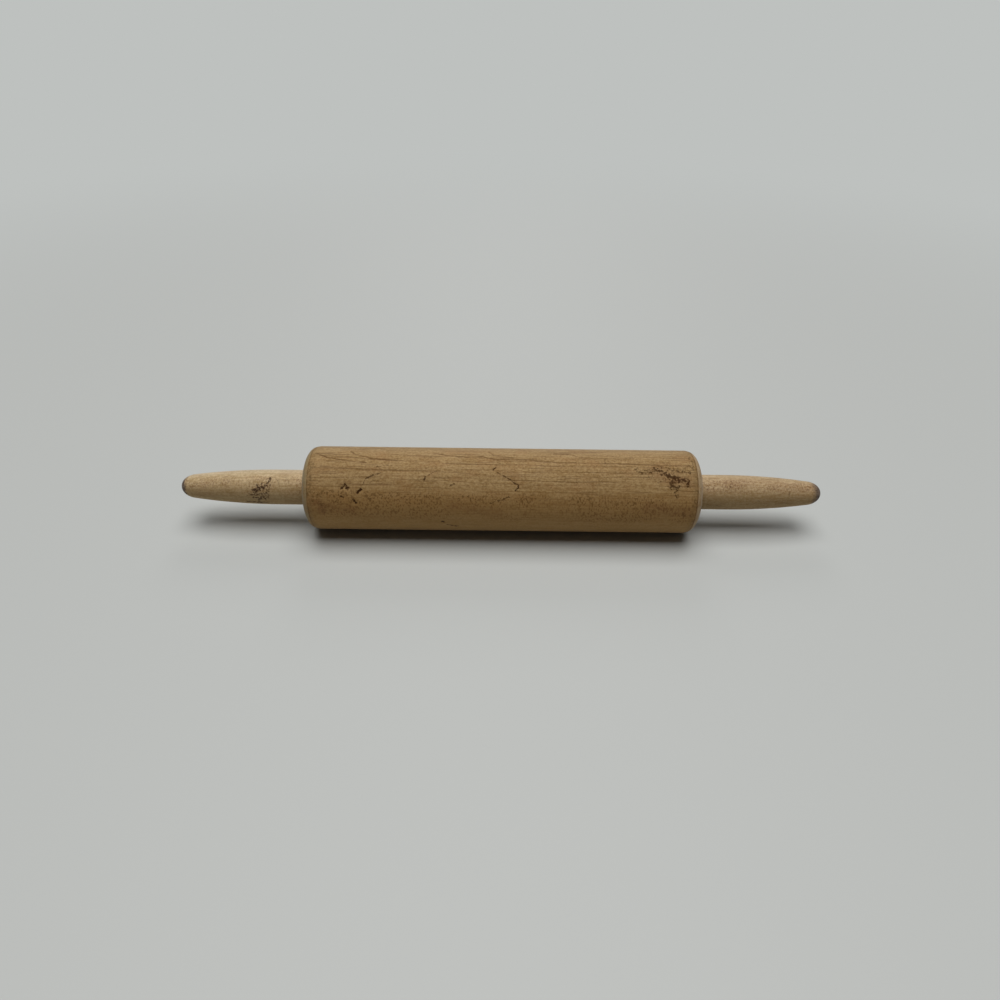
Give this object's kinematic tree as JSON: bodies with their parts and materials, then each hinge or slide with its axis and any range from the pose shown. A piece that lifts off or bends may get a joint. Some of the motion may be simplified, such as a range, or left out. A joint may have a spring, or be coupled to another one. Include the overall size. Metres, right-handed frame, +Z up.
{
  "type": "rolling pin",
  "caption": "Hardwood rolling pin with a roller that turns on a steel axle between two tapered wooden handles.",
  "frame": {"origin": "bottom centre of the bounding box: on the table, under the middle of the roller", "axes": "+X along the axle towards the right-hand handle, +Z up, +Y away from the viewer of the picture"},
  "size_m": [0.4666, 0.0604, 0.0603],
  "materials": {
    "roller_maple": "satin",
    "handle_maple": "satin",
    "axle_steel": "satin",
    "bushing_nylon": "satin",
    "washer_steel": "satin",
    "pin_steel": "satin"
  },
  "bodies": {
    "handles_and_axle": {"axle_rod": "axle_steel", "left_handle": "handle_maple", "right_handle": "handle_maple", "left_handle_pin": "pin_steel", "right_handle_pin": "pin_steel"},
    "roller": {"roller": "roller_maple", "left_bushing": "bushing_nylon", "right_bushing": "bushing_nylon"},
    "left_washer": {"left_thrust_washer": "washer_steel"},
    "right_washer": {"right_thrust_washer": "washer_steel"}
  },
  "joints": [
    {"name": "roller_spin", "type": "hinge", "parent": "handles_and_axle", "child": "roller", "pos_m": [0, 0, 0.03015], "axis": [1, 0, 0], "continuous": true},
    {"name": "left_washer_spin", "type": "hinge", "parent": "handles_and_axle", "child": "left_washer", "pos_m": [-0.14045, 0, 0.03015], "axis": [1, 0, 0], "continuous": true},
    {"name": "right_washer_spin", "type": "hinge", "parent": "handles_and_axle", "child": "right_washer", "pos_m": [0.14045, 0, 0.03015], "axis": [1, 0, 0], "continuous": true}
  ]
}
